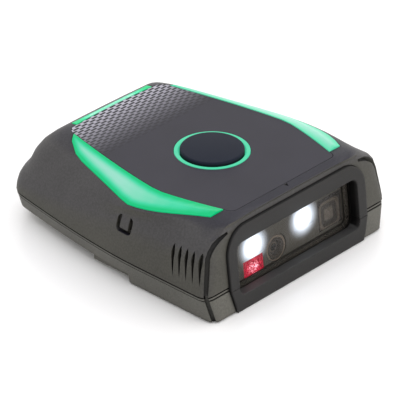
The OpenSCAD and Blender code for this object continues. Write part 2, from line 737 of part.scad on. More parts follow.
// Trigger button, held in by a flange under the ring
button_top = body_h + button_proud;
switch_w = 5.2;
switch_h = 1.6;
switch_top = board_z + board_t + switch_h;
stem_z = switch_top + button_travel + 0.05;
stem_r = 1.5;
module trigger_button() {
  r = button_d / 2;
  flange_r = r + button_gap + button_flange;
  color([0.22, 0.23, 0.28]) translate([0, button_cy, 0]) rotate_extrude() {
    polygon(concat(
      [[0, stem_z], [stem_r, stem_z], [stem_r, ring_bottom - flange_t],
       [flange_r, ring_bottom - flange_t], [flange_r, ring_bottom], [r, ring_bottom]],
      [for (a = [0:15:90]) [r - button_rim_r * (1 - cos(a)), button_top - button_rim_r * (1 - sin(a))]],
      [[0, button_top]]
    ));
  }
}

// Bezel in two pieces, glass and gasket
module bezel_body() {
  difference() {
    front_slab(-bezel_proud, glass_y) bezel_outline(0);
    front_slab(-bezel_proud - overrun, glass_y + overrun) window_shape(0);
  }
}
bezel_foot = 0.15;
module bezel_cut(low, high) {
  intersection() {
    bezel_body();
    translate([-body_w, front_y - overrun, low]) cube([body_w * 2, front_wall + overrun, high - low]);
  }
}
module bezel_upper() {
  color([0.2, 0.2, 0.21]) bezel_cut(seam_z - bezel_split + fit_gap / 2, body_h);
}
module bezel_lower() {
  color([0.2, 0.2, 0.21]) bezel_cut(bezel_foot, seam_z - bezel_split - fit_gap / 2);
}
module scan_window() {
  color([0.12, 0.11, 0.1, 0.6]) front_slab(glass_y, glass_y + glass_t) window_shape(glass_lap);
}
gasket_border = 0.5;
module window_gasket() {
  color([0.05, 0.05, 0.05]) difference() {
    front_slab(glass_y + glass_t, front_wall) window_shape(glass_lap);
    front_slab(glass_y, front_wall + overrun) window_shape(-gasket_border);
  }
}

// Scan engine: its lamps lie in two rows between the edges of the window
lamp_top = 2.8;
lamp_web = 0.5;
lamp_sink = 0.1;
led_w = 5.2;
led_h = (window_h - lamp_top - lamp_web + lamp_sink) / 2;
led_z = window_top - lamp_top - led_h / 2;
led_spots = [[-8.5, led_z], [5.2, led_z]];
aimer_spot = [-8.8, window_z - lamp_sink + led_h / 2];
// The lens and the sensor, with their places as [x, z]
lens_spot = [-2.5, window_z + 3];
lens_l = 4.4;
lens_bore = 4;
sensor_w = 6.2;
sensor_h = window_h - 4.2;
sensor_spot = [12.4, window_z + window_h / 2 - 0.9];
sensor_rim = 0.8;
face_gap = 0.1;
face_drop = 0.6;
face_w = 33.6;
module engine_chassis() {
  function back_at(z) = front_at(z) + (engine_face_d + eps) / cos(front_lean);
  color([0.15, 0.15, 0.16]) difference() {
    translate([-engine_w / 2, 0, 0]) rotate([90, 0, 90]) linear_extrude(engine_w) polygon([
      [back_at(engine_z), engine_z], [engine_y + engine_l, engine_z],
      [engine_y + engine_l, engine_top], [back_at(engine_top), engine_top]
    ]);
    front_slab(front_wall, engine_face_d + lens_bore) translate(lens_spot) circle(d = lens_d + 6 * face_gap);
  }
}
module engine_face() {
  color([0.1, 0.1, 0.1]) difference() {
    front_slab(front_wall, engine_face_d) translate([-face_w / 2, window_z - face_drop])
      square([face_w, window_h - face_drop]);
    front_slab(front_wall - overrun, front_wall + face_t + overrun) {
      for (spot = concat(led_spots, [aimer_spot])) translate(spot)
        square([led_w + 2 * face_gap, led_h + 2 * face_gap], center = true);
      translate(lens_spot) circle(d = lens_d + 2 * face_gap);
      translate(sensor_spot) square([sensor_w + 2 * face_gap, sensor_h + 2 * face_gap], center = true);
    }
  }
}
module camera_lens() {
  r = lens_d / 2;
  color([0.2, 0.18, 0.16]) leaning() translate([lens_spot.x, engine_y + lens_bore, lens_spot.y])
    rotate([90, 0, 0]) rotate_extrude() polygon([
      [0, 0], [r - 0.4, 0], [r - 0.4, 1], [r, 1], [r, lens_l],
      [r * 0.6, lens_l], [r * 0.5, lens_l - 0.8], [r * 0.3, lens_l - 0.6], [0, lens_l - 0.5]
    ]);
}
module illuminators() {
  color([0.95, 0.95, 1]) for (spot = led_spots)
    front_slab(front_wall + face_gap, front_wall + face_t) translate(spot)
      square([led_w, led_h], center = true);
}
module aimer_lens() {
  color([0.9, 0.1, 0.2]) front_slab(front_wall + face_gap, front_wall + face_t)
    translate(aimer_spot) square([led_w, led_h], center = true);
}
module range_sensor() {
  color([0.2, 0.19, 0.18]) difference() {
    front_slab(front_wall + face_gap, front_wall + face_t) translate(sensor_spot)
      square([sensor_w, sensor_h], center = true);
    front_slab(front_wall - overrun, front_wall + face_t / 2) translate(sensor_spot)
      rounded_rect(sensor_w - 2 * sensor_rim, sensor_h - 2 * sensor_rim, sensor_rim);
  }
}

// Main board and what it carries
board_top = board_z + board_t;
board_gap = 1.2;
board_y0 = engine_y + engine_l + board_gap;
board_l = rear_y - board_rear_gap - board_y0;
module main_board() {
  color([0.05, 0.3, 0.15]) difference() {
    translate([-board_w / 2, board_y0, board_z]) cube([board_w, board_l, board_t]);
    at_screws() translate([0, 0, board_z - overrun])
      cylinder(d = boss_d + board_gap / 2, h = board_t + 2 * overrun);
  }
}
flex_z = board_top + 0.6;
flex_t = 0.2;
flex_w = 9;
flex_y0 = engine_y + engine_l;
connector_y0 = board_y0 + 0.6;
connector_l = 2.6;
connector_h = 1.2;
flex_in = 1.4;
module flex_connector() {
  color([0.85, 0.82, 0.72]) difference() {
    translate([-flex_w / 2 - 1, connector_y0, board_top]) cube([flex_w + 2, connector_l, connector_h]);
    translate([-flex_w / 2 - fit_gap, connector_y0 - overrun, flex_z - fit_gap])
      cube([flex_w + 2 * fit_gap, overrun + flex_in, flex_t + 2 * fit_gap]);
  }
}
module engine_flex() {
  color([0.75, 0.45, 0.12]) translate([-flex_w / 2, flex_y0, flex_z])
    cube([flex_w, connector_y0 + flex_in - flex_y0, flex_t]);
}
module trigger_switch() {
  color([0.75, 0.75, 0.76]) translate([0, button_cy, board_top]) {
    translate([-switch_w / 2, -switch_w / 2, 0]) cube([switch_w, switch_w, 1]);
    cylinder(r = stem_r, h = switch_h);
  }
}
battery_rear_gap = 8;
battery_y0 = engine_y + engine_l + battery_gap;
module battery() {
  color([0.7, 0.7, 0.72]) translate([-battery_w / 2, battery_y0, rear_floor])
    cube([battery_w, rear_y - battery_rear_gap - battery_y0, battery_t]);
}
plug = [4.2, 3, 1.6];
plug_spot = [-12.6, board_y0 + 3.4];
module battery_plug() {
  color([0.9, 0.88, 0.8]) translate([plug_spot.x, plug_spot.y, board_top]) cube(plug);
}
radio = [10, 8, 1.6];
radio_set = 4.5;
module radio_module() {
  y = button_cy + switch_w / 2 + radio_set;
  color([0.78, 0.78, 0.8]) translate([-radio.x / 2, y, board_top]) cube(radio);
}
// The buzzer and the motor are both coin shaped, and stand side by side on the board
coin_x = 10.2;
coin_rear_gap = 16.8;
coin_y = rear_y - coin_rear_gap;
coin_d = 7.6;
coin_h = 2;
sound_hole_d = 1.6;
module buzzer() {
  color([0.12, 0.12, 0.12]) translate([coin_x, coin_y, board_top]) difference() {
    cylinder(d = coin_d, h = coin_h);
    translate([0, 0, coin_h / 2]) cylinder(d = sound_hole_d, h = coin_h);
  }
}
module vibration_motor() {
  color([0.72, 0.72, 0.74]) translate([-coin_x, coin_y, board_top]) cylinder(d = coin_d, h = coin_h);
}
coil_w = 20;
coil_l = 9;
coil_band = 2.5;
coil_t = 0.3;
module nfc_coil() {
  y = panel_rear_y - 2.6 - coil_l / 2;
  color([0.8, 0.5, 0.2]) translate([0, y, body_h - roof_t - coil_t]) linear_extrude(coil_t) difference() {
    rounded_rect(coil_w, coil_l, coil_band * 0.6);
    rounded_rect(coil_w - 2 * coil_band, coil_l - 2 * coil_band, coil_band * 0.25);
  }
}
diode = [1.2, 1.8, 0.7];
diode_pitch = 7;
module strip_leds() {
  color([0.95, 0.95, 0.85]) on_both_sides() for (i = [0:2])
    translate([board_w / 2 - 1.5 * diode.x, board_y0 + 4 + diode_pitch * i, board_top]) cube(diode);
}

// Charging contacts in the cradle rail
module at_pins() {
  for (i = [0:pin_count - 1]) translate([(i - (pin_count - 1) / 2) * pin_pitch, block_y, 0]) children();
}
module contact_block() {
  color([0.1, 0.1, 0.1]) difference() {
    translate([-block_l / 2, block_y - block_w / 2, block_sink]) cube([block_l, block_w, block_t]);
    at_pins() cylinder(d = pin_d + 2 * fit_gap, h = block_sink + block_t + eps);
  }
}
module contact_pins() {
  color([0.85, 0.68, 0.3]) at_pins() translate([0, 0, pin_sink])
    cylinder(d = pin_d, h = block_sink + block_t - pin_sink);
}

// Pan head screws that go in from below, with a cross recess
cross_w = 2.2;
cross_t = 0.4;
cross_depth = 0.7;
module housing_screw() {
  difference() {
    union() {
      cylinder(d = screw_head_d, h = head_h);
      cylinder(d = screw_d, h = screw_l);
    }
    for (a = [0, 90]) rotate([0, 0, a]) translate([-cross_w / 2, -cross_t / 2, -eps])
      cube([cross_w, cross_t, cross_depth]);
  }
}
module housing_screws() {
  color([0.6, 0.6, 0.62]) for (side = [-1, 1], i = [0, 1])
    translate([side * screw_spots[i].x, screw_spots[i].y, head_z[i]]) housing_screw();
}

upper_shell();
lower_shell();
seam_gasket();
top_panel();
light_strip_left();
light_strip_right();
light_strip_rear();
button_ring();
trigger_button();
trigger_switch();
bezel_upper();
bezel_lower();
scan_window();
window_gasket();
engine_chassis();
engine_face();
camera_lens();
illuminators();
aimer_lens();
range_sensor();
engine_flex();
flex_connector();
main_board();
battery();
battery_plug();
radio_module();
buzzer();
vibration_motor();
nfc_coil();
strip_leds();
contact_block();
contact_pins();
housing_screws();
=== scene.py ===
"""Looks of the wearable barcode scanner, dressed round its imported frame.

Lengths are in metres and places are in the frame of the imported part: the scan window faces -Y,
the rear end is at +Y and +Z is up. Sizes written in millimetres end in _mm or pass through mm().
"""

from __future__ import annotations

import logging
import math
from dataclasses import dataclass, field, replace
from enum import Enum
from typing import Sequence, Union

import bmesh
import bpy
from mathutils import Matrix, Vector
from mathutils.kdtree import KDTree


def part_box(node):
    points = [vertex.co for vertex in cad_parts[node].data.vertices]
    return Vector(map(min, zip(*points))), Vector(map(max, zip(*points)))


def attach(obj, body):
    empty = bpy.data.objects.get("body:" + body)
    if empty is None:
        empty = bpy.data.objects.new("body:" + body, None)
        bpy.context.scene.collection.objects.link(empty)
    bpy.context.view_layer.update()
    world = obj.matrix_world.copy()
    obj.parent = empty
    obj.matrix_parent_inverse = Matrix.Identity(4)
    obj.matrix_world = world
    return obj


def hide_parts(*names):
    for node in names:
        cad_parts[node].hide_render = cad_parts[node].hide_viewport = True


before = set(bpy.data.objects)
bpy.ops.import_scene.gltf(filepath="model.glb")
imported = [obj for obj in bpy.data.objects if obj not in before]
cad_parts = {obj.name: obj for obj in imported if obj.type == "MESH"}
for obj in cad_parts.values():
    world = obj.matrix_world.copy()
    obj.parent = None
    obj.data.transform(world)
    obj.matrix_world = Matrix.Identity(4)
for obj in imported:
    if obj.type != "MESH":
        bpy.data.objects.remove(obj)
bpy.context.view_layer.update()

LOG = logging.getLogger("scanner")
HOUSING = "housing"
GLOW_LAYER = "glow"
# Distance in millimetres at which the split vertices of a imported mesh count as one
WELD_MM = 0.001

Colour = tuple[float, float, float]
Point = tuple[float, float, float]
# A place on the front, as x and z in metres
Spot = tuple[float, float]
Socket = bpy.types.NodeSocket
Value = Union[float, Socket]
Tint = Union[Colour, Socket]


def mm(length: float) -> float:
    """Turns millimetres into metres."""
    return length / 1000.0


def per_mm(count: float) -> float:
    """Turns a texture scale in repeats for each millimetre into repeats for each metre."""
    return count * 1000.0


def mix(a: float, b: float, share: float) -> float:
    """Returns the value that lies at a share of the way from a to b."""
    return a + (b - a) * share


def past(a: float, b: float, value: float) -> float:
    """Returns how far value lies on the way from a to b, held between 0 and 1."""
    return min(1.0, max(0.0, (value - a) / (b - a)))


def ease(share: float) -> float:
    """Returns a share that starts and ends gently."""
    return share * share * (3 - 2 * share)


class Grain(Enum):
    """How coarse a moulded surface is: size and depth of its grain in millimetres."""

    SPARK_ERODED = (0.16, 0.012)
    FINE = (0.09, 0.005)
    SATIN = (0.05, 0.0015)

    @property
    def size(self) -> float:
        """Size of one grain in metres."""
        return mm(self.value[0])

    @property
    def depth(self) -> float:
        """Depth of the grain in metres."""
        return mm(self.value[1])


class Recipe:
    """Builds the node tree of one material."""

    # Range that holds nearly all values of a noise texture, and a narrower one for hard contrasts
    NOISE = (0.3, 0.7)
    HARD_NOISE = (0.35, 0.65)
    # Shares of open surroundings at which a crevice is dark and lit, and the light left in the dark
    OPEN = (0.3, 0.9)
    DARKEST = 0.02
    # Shares of a light pool's reach between which the light falls off
    POOL = (0.3, 1.05)
    # Numbers of the colour inputs and of the colour result on a Mix node
    MIXED = (6, 7)
    MIX_RESULT = 2

    def __init__(self, name: str) -> None:
        """Starts an empty node tree.

        Args:
            name: Name of the material.
        """
        self.material = bpy.data.materials.new(name)
        self.material.use_nodes = True
        self.tree = self.material.node_tree
        self.tree.nodes.clear()
        self.output = self.tree.nodes.new("ShaderNodeOutputMaterial")

    def add(
        self, kind: str, inputs: dict[str | int, object] | None = None, **settings: object
    ) -> bpy.types.Node:
        """Adds a node.

        Args:
            kind: Node type without its ShaderNode prefix.
            inputs: Values or sockets for the node's inputs, by name or index.
            **settings: Properties of the node.

        Returns:
            The new node.
        """
        node = self.tree.nodes.new("ShaderNode" + kind)
        for name, value in settings.items():
            setattr(node, name, value)
        for key, value in (inputs or {}).items():
            self._feed(node.inputs[key], value)
        return node

    def _feed(self, socket: Socket, value: object) -> None:
        """Links a socket to an input, or sets the input to a value.

        Args:
            socket: The input.
            value: Socket or value.
        """
        if isinstance(value, Socket):
            self.tree.links.new(value, socket)
        else:
            socket.default_value = value

    def math(self, operation: str, a: Value, b: Value = 0.0, clamp: bool = False) -> Socket:
        """Does a sum on one or two values.

        Args:
            operation: Blender's name of the operation.
            a: First value.
            b: Second value.
            clamp: Whether the result is held between 0 and 1.

        Returns:
            The result.
        """
        return self.add("Math", {0: a, 1: b}, operation=operation, use_clamp=clamp).outputs[0]

    def place(self) -> Socket:
        """Returns the position on the object, in metres."""
        return self.add("TexCoord").outputs["Object"]

    def axes(self) -> bpy.types.NodeOutputs:
        """Returns the x, y and z of the position on the object, in metres."""
        return self.add("SeparateXYZ", {0: self.place()}).outputs

    def facing_up(self) -> Socket:
        """Returns 1 where the surface looks up and 0 where it stands upright."""
        normal = self.add("NewGeometry").outputs["Normal"]
        return self.add("SeparateXYZ", {0: normal}).outputs[2]

    def off_centre(
        self,
        axes: Sequence[Socket],
        centre: Spot,
        reach_mm: tuple[float, float],
        power: float = 2.0,
        clamp: bool = False,
    ) -> Socket:
        """Measures how far a point of the front lies from a centre.

        Args:
            axes: The point's x, y and z.
            centre: The centre.
            reach_mm: Half width and half height of the patch in millimetres.
            power: Squareness of the patch, 2 for an ellipse and more for a rounded rectangle.
            clamp: Whether the distance is held between 0 and 1.

        Returns:
            The distance, 1 at the edge of the patch.
        """
        total: Value = 0.0
        for value, middle, reach in zip((axes[0], axes[2]), centre, reach_mm):
            share = self.math("DIVIDE", self.math("SUBTRACT", value, middle), mm(reach))
            total = self.math("ADD", total, self.math("POWER", self.math("ABSOLUTE", share), power))
        return self.math("POWER", total, 1 / power, clamp)

    def pools(
        self,
        centres: Sequence[Spot],
        reach_mm: tuple[float, float],
        focus: float = 1.0,
        floor: float = 0.0,
    ) -> Socket:
        """Lays a pool of light round each lamp of the front.

        Args:
            centres: Places of the lamps.
            reach_mm: Half width and half height of a pool in millimetres.
            focus: Power that draws the light towards the middle.
            floor: Brightness beyond the pools.

        Returns:
            The brightness, 1 in the middle of each pool.
        """
        axes = self.axes()
        total: Value = 0.0
        for centre in centres:
            near = self.spread(self.off_centre(axes, centre, reach_mm), *self.POOL, 1.0, floor)
            total = self.math("MAXIMUM", total, near)
        return self.math("POWER", total, focus)

    def painted_crevice_shade(self, reach: float) -> Socket:
        """Paints shade into gaps and inner corners, where little light reaches.

        Args:
            reach: Width of the gaps that turn dark, in metres.

        Returns:
            The share of light that is left.
        """
        # Painted shade: the base colour darkens where the surroundings are hidden from a point
        open_share = self.add("AmbientOcclusion", {"Distance": reach}, samples=8).outputs["AO"]
        return self.spread(open_share, *self.OPEN, self.DARKEST, 1.0)

    def noise(self, size: float, detail: float = 2.0, distortion: float = 0.0) -> Socket:
        """Makes a noise texture.

        Args:
            size: Size of its blobs in metres.
            detail: Number of finer layers.
            distortion: How strongly the blobs are warped.

        Returns:
            The noise value.
        """
        blobs = {"Scale": 1.0 / size, "Detail": detail, "Distortion": distortion}
        return self.add("TexNoise", {"Vector": self.place(), **blobs}).outputs["Fac"]

    def spread(
        self, value: Value, low: float, high: float, start: float = 0.0, end: float = 1.0
    ) -> Socket:
        """Stretches a value from low..high to start..end and holds it there.

        Args:
            value: The value.
            low: Value that becomes start.
            high: Value that becomes end.
            start: Result at low.
            end: Result at high.

        Returns:
            The result.
        """
        inputs = {"Value": value, "From Min": low, "From Max": high, "To Min": start, "To Max": end}
        return self.add("MapRange", inputs).outputs["Result"]

    def vary(
        self, noise: Socket, middle: float, by: float, span: tuple[float, float] = NOISE
    ) -> Socket:
        """Stretches a noise value to a range round a middle.

        Args:
            noise: The noise value.
            middle: Middle of the range.
            by: How far the range reaches each way, below zero to turn it round.
            span: Noise values that become the ends of the range.

        Returns:
            The result.
        """
        return self.spread(noise, *span, middle - by, middle + by)

    def ramp(self, value: Value, stops: Sequence[tuple[float, Colour]]) -> Socket:
        """Picks colours by a value.

        Args:
            value: The value that picks.
            stops: Places from 0 to 1 with their colours.

        Returns:
            The colour.
        """
        node = self.add("ValToRGB", {"Fac": value})
        elements = node.color_ramp.elements
        elements[0].position, elements[1].position = stops[0][0], stops[-1][0]
        elements[0].color, elements[1].color = (*stops[0][1], 1), (*stops[-1][1], 1)
        for place, colour in stops[1:-1]:
            elements.new(place).color = (*colour, 1)
        return node.outputs["Color"]

    def blend(self, share: Value, a: Tint, b: Tint, blend_type: str = "MIX") -> Socket:
        """Mixes two colours.

        Args:
            share: Share of the second colour.
            a: First colour.
            b: Second colour.
            blend_type: Blender's name of the way they mix.

        Returns:
            The colour.
        """
        node = self.add("Mix", {"Factor": share}, data_type="RGBA", blend_type=blend_type)
        for number, value in zip(self.MIXED, (a, b)):
            self._feed(node.inputs[number], value if isinstance(value, Socket) else (*value, 1))
        return node.outputs[self.MIX_RESULT]

    def dim(self, colour: Tint, share: Value) -> Socket:
        """Multiplies a colour by a share.

        Args:
            colour: The colour.
            share: The share.

        Returns:
            The dimmed colour.
        """
        grey = self.add("CombineColor", {0: share, 1: share, 2: share}).outputs[0]
        return self.blend(1.0, colour, grey, "MULTIPLY")

    def soft_edge(self, radius: float) -> Socket:
        """Returns a normal that rounds the piece's edges by a radius in metres."""
        return self.add("Bevel", {"Radius": radius}, samples=6).outputs["Normal"]

    def bump(self, height: Socket, depth: float, normal: Socket) -> Socket:
        """Roughens a normal by a height.

        Args:
            height: The height from 0 to 1.
            depth: Depth of the relief in metres.
            normal: Normal that the relief is laid on.

        Returns:
            The roughened normal.
        """
        inputs = {"Height": height, "Distance": depth, "Strength": 1.0, "Normal": normal}
        return self.add("Bump", inputs).outputs["Normal"]

    def surface(self, **inputs: object) -> bpy.types.Material:
        """Ends the tree in one surface shader.

        Args:
            **inputs: Shader inputs, with underscores for the blanks in their names.

        Returns:
            The finished material.
        """
        named = {key.replace("_", " "): value for key, value in inputs.items()}
        for key in ("Base Color", "Emission Color"):
            if isinstance(named.get(key), tuple):
                named[key] = (*named[key], 1)
        shader = self.add("BsdfPrincipled", named)
        self.tree.links.new(shader.outputs[0], self.output.inputs["Surface"])
        return self.material


@dataclass(frozen=True)
class MouldedPlastic:
    """Textured moulded plastic with cloudy colour, softened edges and painted shade in its gaps and
    inner corners.

    Faces that slope take a painted light tint and faces that look up take a painted shade tint,
    colours that stand in for how the light falls on them. The turns say how far a face looks up
    where the first colour ends, where the sloping tint starts and ends, and where the top tint
    starts.
    """

    name: str
    colour: Colour
    grain: Grain = Grain.SPARK_ERODED
    roughness: float = 0.55
    edge_mm: float = 0.18
    specular: float = 0.3
    # Width of the gaps and inner corners that get painted shade, in millimetres
    crevice_shade_mm: float = 0.9
    # Painted light tint for faces that slope and painted shade tint for faces that look up
    shoulder_light_tint: Colour | None = None
    top_shade_tint: Colour | None = None
    turns: tuple[float, float, float, float] = (0.14, 0.4, 0.8, 0.985)
    cloud: float = 0.1
    cloud_mm: float = 9.0
    speck: float = 0.14
    speck_grains: float = 2.4
    shine_range: float = 0.08

    def tint(self, make: Recipe) -> Socket:
        """Makes the cloudy colour of the bare plastic.

        Args:
            make: Node tree that the colour is built in.

        Returns:
            The colour.
        """
        clouds = make.vary(make.noise(mm(self.cloud_mm), detail=4.0), 1.0, self.cloud)
        specks = make.noise(self.grain.size * self.speck_grains, detail=1.0)
        uneven = make.math("MULTIPLY", clouds, make.vary(specks, 1.0, self.speck))
        # Painted light on sloping faces and painted shade on faces that look up, picked by facing
        slope, top = self.shoulder_light_tint or self.colour, self.top_shade_tint or self.colour
        base = make.ramp(make.facing_up(), list(zip(self.turns, (self.colour, slope, slope, top))))
        return make.dim(base, uneven)

    def light(self, make: Recipe) -> dict[str, object]:
        """Returns shader inputs for light that the plastic gives off, of which it has none."""
        return {}

    def build(self) -> bpy.types.Material:
        """Builds the material.

        Returns:
            The finished material.
        """
        make = Recipe(self.name)
        grain = make.noise(self.grain.size, detail=3.0)
        return make.surface(
            # Base colour with painted shade in gaps and inner corners
            Base_Color=make.dim(self.tint(make), make.painted_crevice_shade(mm(self.crevice_shade_mm))),
            Roughness=make.vary(grain, self.roughness, -self.shine_range, make.HARD_NOISE),
            Normal=make.bump(grain, self.grain.depth, make.soft_edge(mm(self.edge_mm))),
            Specular_IOR_Level=self.specular,
            **self.light(make),
        )


@dataclass(frozen=True)
class BezelPlastic(MouldedPlastic):
    """Bezel plastic with painted shade, black where the opening's walls run back to the glass.

    Below sill_z the painted shade starts further back, and sill faces that look up take a paler
    colour of painted light. Depths are measured behind the leaning front face, which passes
    through face_y at the height lean_z.
    """

    face_y: float = 0.0
    lean_z: float = mm(5.8)
    lean_deg: float = 7.0
    # Painted shade: depth behind the face where it starts, how softly, and how dark it gets
    shade_from_mm: float = 0.45
    shade_soft_mm: float = 0.3
    deepest_shade: float = 0.03
    sill_z: float = 0.0
    sill_soft_mm: float = 0.25
    # Painted shade starts this deep on the sill; sill faces that look up take painted light
    sill_unshaded_mm: float = 3.2
    sill_turns: tuple[float, float] = (0.3, 0.6)
    sill_light_colour: Colour = (0.05, 0.05, 0.05)

    @property
    def lean(self) -> float:
        """How far the face runs back for each metre of height."""
        return math.tan(math.radians(self.lean_deg))

    def tint(self, make: Recipe) -> Socket:
        """Makes the plastic's colour with painted shade, black behind the bezel's face, and painted
        light on the sill.

        Args:
            make: Node tree that the colour is built in.

        Returns:
            The colour.
        """
        axes = make.axes()
        sill_end = self.sill_z + mm(self.sill_soft_mm)
        leaned = make.math("MULTIPLY", make.math("SUBTRACT", axes[2], self.lean_z), self.lean)
        depth = make.math("SUBTRACT", make.math("SUBTRACT", axes[1], self.face_y), leaned)
        # Painted shade: the colour turns black behind the face, starting deeper on the sill
        grey_mm = make.spread(axes[2], self.sill_z, sill_end, self.sill_unshaded_mm, self.shade_from_mm)
        beyond = make.math("SUBTRACT", depth, make.math("MULTIPLY", grey_mm, mm(1)))
        unshaded_share = make.spread(beyond, 0.0, mm(self.shade_soft_mm), 1.0, self.deepest_shade)
        # Painted light: low faces of the sill that look up take the paler sill colour
        low = make.spread(axes[2], self.sill_z, sill_end, 1.0, 0.0)
        sill = make.math("MULTIPLY", make.spread(make.facing_up(), *self.sill_turns), low)
        return make.dim(make.blend(sill, super().tint(make), self.sill_light_colour), unshaded_share)


@dataclass(frozen=True)
class DashedFilm(MouldedPlastic):
    """Panel film with a print of short dark dashes on a paler ground, which fades out forwards."""

    ground: Colour = (0.37, 0.36, 0.42)
    ink: Colour = (0.0, 0.0, 0.002)
    row_pitch_mm: float = 0.62
    dash_pitch_mm: float = 2.2
    dash_mm: tuple[float, float] = (1.42, 0.46)
    dash_soft_mm: float = 0.06
    row_y_mm: float = 20.45
    dash_x_mm: float = 0.57
    fade_mm: tuple[float, float] = (7.6, 19.4)
    ground_fade: float = 1.6
    ink_fade: float = 0.3

    def _within(self, make: Recipe, value: Socket, length_mm: float) -> Socket:
        """Returns 1 where a distance from a dash's middle lies inside the dash, with a soft end."""
        half, soft = mm(length_mm) / 2, mm(self.dash_soft_mm)
        return make.spread(value, half - soft, half + soft, 1.0, 0.0)

    def tint(self, make: Recipe) -> Socket:
        """Makes the film's colour with the print laid over it.

        Args:
            make: Node tree that the colour is built in.

        Returns:
            The colour.
        """
        axes = make.axes()
        across = make.math("SUBTRACT", axes[0], mm(self.dash_x_mm))
        along = make.math("SUBTRACT", axes[1], mm(self.row_y_mm))
        pitch, step = mm(self.row_pitch_mm), mm(self.dash_pitch_mm) / 2
        odd_row = make.math("GREATER_THAN", make.math("PINGPONG", along, pitch), pitch / 2)
        shifted = make.math("ADD", across, make.math("MULTIPLY", odd_row, step))
        in_length = self._within(make, make.math("PINGPONG", shifted, step), self.dash_mm[0])
        in_width = self._within(make, make.math("PINGPONG", along, pitch / 2), self.dash_mm[1])
        dash = make.math("MULTIPLY", in_length, in_width)
        strength = make.spread(axes[1], mm(self.fade_mm[0]), mm(self.fade_mm[1]), 0.0, 1.0)
        ground_share = make.math("POWER", strength, self.ground_fade)
        ink_share = make.math("MULTIPLY", dash, make.math("POWER", strength, self.ink_fade))
        paled = make.blend(ground_share, super().tint(make), self.ground)
        return make.blend(ink_share, paled, self.ink)


@dataclass(frozen=True)
class LitGuide:
    """Milky light guide, lit from inside: deep green at its rims and pale in the middle.

    The turns say how strong the glow is where the rim's colour starts and ends, where the body's is
    reached, and where the core's is. The relief is the size and the depth of the surface's waves.
    """

    name: str
    rim: Colour = (0.003, 0.6, 0.22)
    body: Colour = (0.06, 0.72, 0.4)
    core: Colour = (0.33, 0.77, 0.61)
    turns: tuple[float, float, float, float] = (0.0, 0.08, 0.42, 1.0)
    strength: float = 0.62
    reflected: float = 0.28
    roughness: float = 0.4
    shine_range: float = 0.04
    cloud: float = 0.04
    cloud_mm: float = 3.2
    relief_mm: tuple[float, float] = (0.5, 0.002)
    edge_mm: float = 0.12

    def build(self) -> bpy.types.Material:
        """Builds the material.

        Returns:
            The finished material.
        """
        make = Recipe(self.name)
        clouds = make.noise(mm(self.cloud_mm))
        glow = make.add("Attribute", attribute_name=GLOW_LAYER).outputs["Fac"]
        glow = make.math("ADD", glow, make.vary(clouds, 0.0, self.cloud), clamp=True)
        colour = make.ramp(glow, list(zip(self.turns, (self.rim, self.rim, self.body, self.core))))
        relief = make.noise(mm(self.relief_mm[0]))
        return make.surface(
            Base_Color=make.dim(colour, self.reflected),
            Emission_Color=colour,
            Emission_Strength=self.strength,
            Roughness=make.vary(clouds, self.roughness, self.shine_range),
            Normal=make.bump(relief, mm(self.relief_mm[1]), make.soft_edge(mm(self.edge_mm))),
            Specular_IOR_Level=0.1,
        )


@dataclass(frozen=True)
class Lamp:
    """Clear lens over a lit diode, brightest in the middle of its own pool of light.

    Over the hot range of brightness its colour turns to the core's. The sparkle breaks the light up
    into streaks.
    """

    name: str
    colour: Colour
    strength: float
    reach_mm: tuple[float, float]
    centres: tuple[Spot, ...] = ()
    focus: float = 1.0
    floor: float = 0.0
    sparkle: float = 0.0
    streak_mm: float = 0.5
    core: Colour = (1.0, 1.0, 1.0)
    hot: tuple[float, float] = (0.95, 1.6)
    unlit: float = 0.35

    def build(self) -> bpy.types.Material:
        """Builds the material.

        Returns:
            The finished material.
        """
        make = Recipe(self.name)
        light = make.pools(self.centres, self.reach_mm, self.focus, self.floor)
        if self.sparkle:
            streak = make.noise(mm(self.streak_mm), detail=3.0, distortion=2.0)
            uneven = make.vary(streak, 1.0, self.sparkle, make.HARD_NOISE)
            light = make.math("MULTIPLY", light, uneven)
        return make.surface(
            Base_Color=make.dim(self.colour, self.unlit),
            Emission_Color=make.blend(make.spread(light, *self.hot), self.colour, self.core),
            Emission_Strength=make.math("MULTIPLY", light, self.strength),
            Roughness=0.25,
            Specular_IOR_Level=0.1,
        )


@dataclass(frozen=True)
class SpillPlate(MouldedPlastic):
    """Plate round a pair of lamps, with their light spilled over it."""

    lamp: Lamp | None = None

    def light(self, make: Recipe) -> dict[str, object]:
        """Makes the shader inputs of the spilled light.

        Args:
            make: Node tree that the light is built in.

        Returns:
            The inputs by name, none without a lamp.
        """
        if self.lamp is None:
            return {}
        pools = make.pools(self.lamp.centres, self.lamp.reach_mm, self.lamp.focus)
        strength = make.math("MULTIPLY", pools, self.lamp.strength)
        return {"Emission_Color": self.lamp.colour, "Emission_Strength": strength}


@dataclass(frozen=True)
class RingedLens:
    """Camera lens: a brown barrel rim round darker rings and a small glint of coating."""

    name: str
    centre: Spot = (0.0, 0.0)
    radius_mm: float = 2.6
    rings: tuple[tuple[float, Colour], ...] = (
        (0.0, (0.01, 0.009, 0.008)),
        (0.24, (0.03, 0.026, 0.022)),
        (0.34, (0.3, 0.24, 0.18)),
        (0.42, (0.04, 0.034, 0.028)),
        (0.6, (0.16, 0.13, 0.1)),
        (0.78, (0.05, 0.042, 0.034)),
        (0.9, (0.6, 0.47, 0.35)),
        (1.0, (0.16, 0.13, 0.1)),
    )
    wobble: float = 0.03
    wobble_mm: float = 1.4
    roughness: tuple[float, float] = (0.12, 0.4)

    def build(self) -> bpy.types.Material:
        """Builds the material.

        Returns:
            The finished material.
        """
        make = Recipe(self.name)
        away = make.off_centre(make.axes(), self.centre, (self.radius_mm, self.radius_mm))
        wobble = make.vary(make.noise(mm(self.wobble_mm)), 0.0, self.wobble)
        colour = make.ramp(make.math("ADD", away, wobble, clamp=True), self.rings)
        shine = make.spread(away, 0.0, 1.0, *self.roughness)
        return make.surface(Base_Color=colour, Roughness=shine)


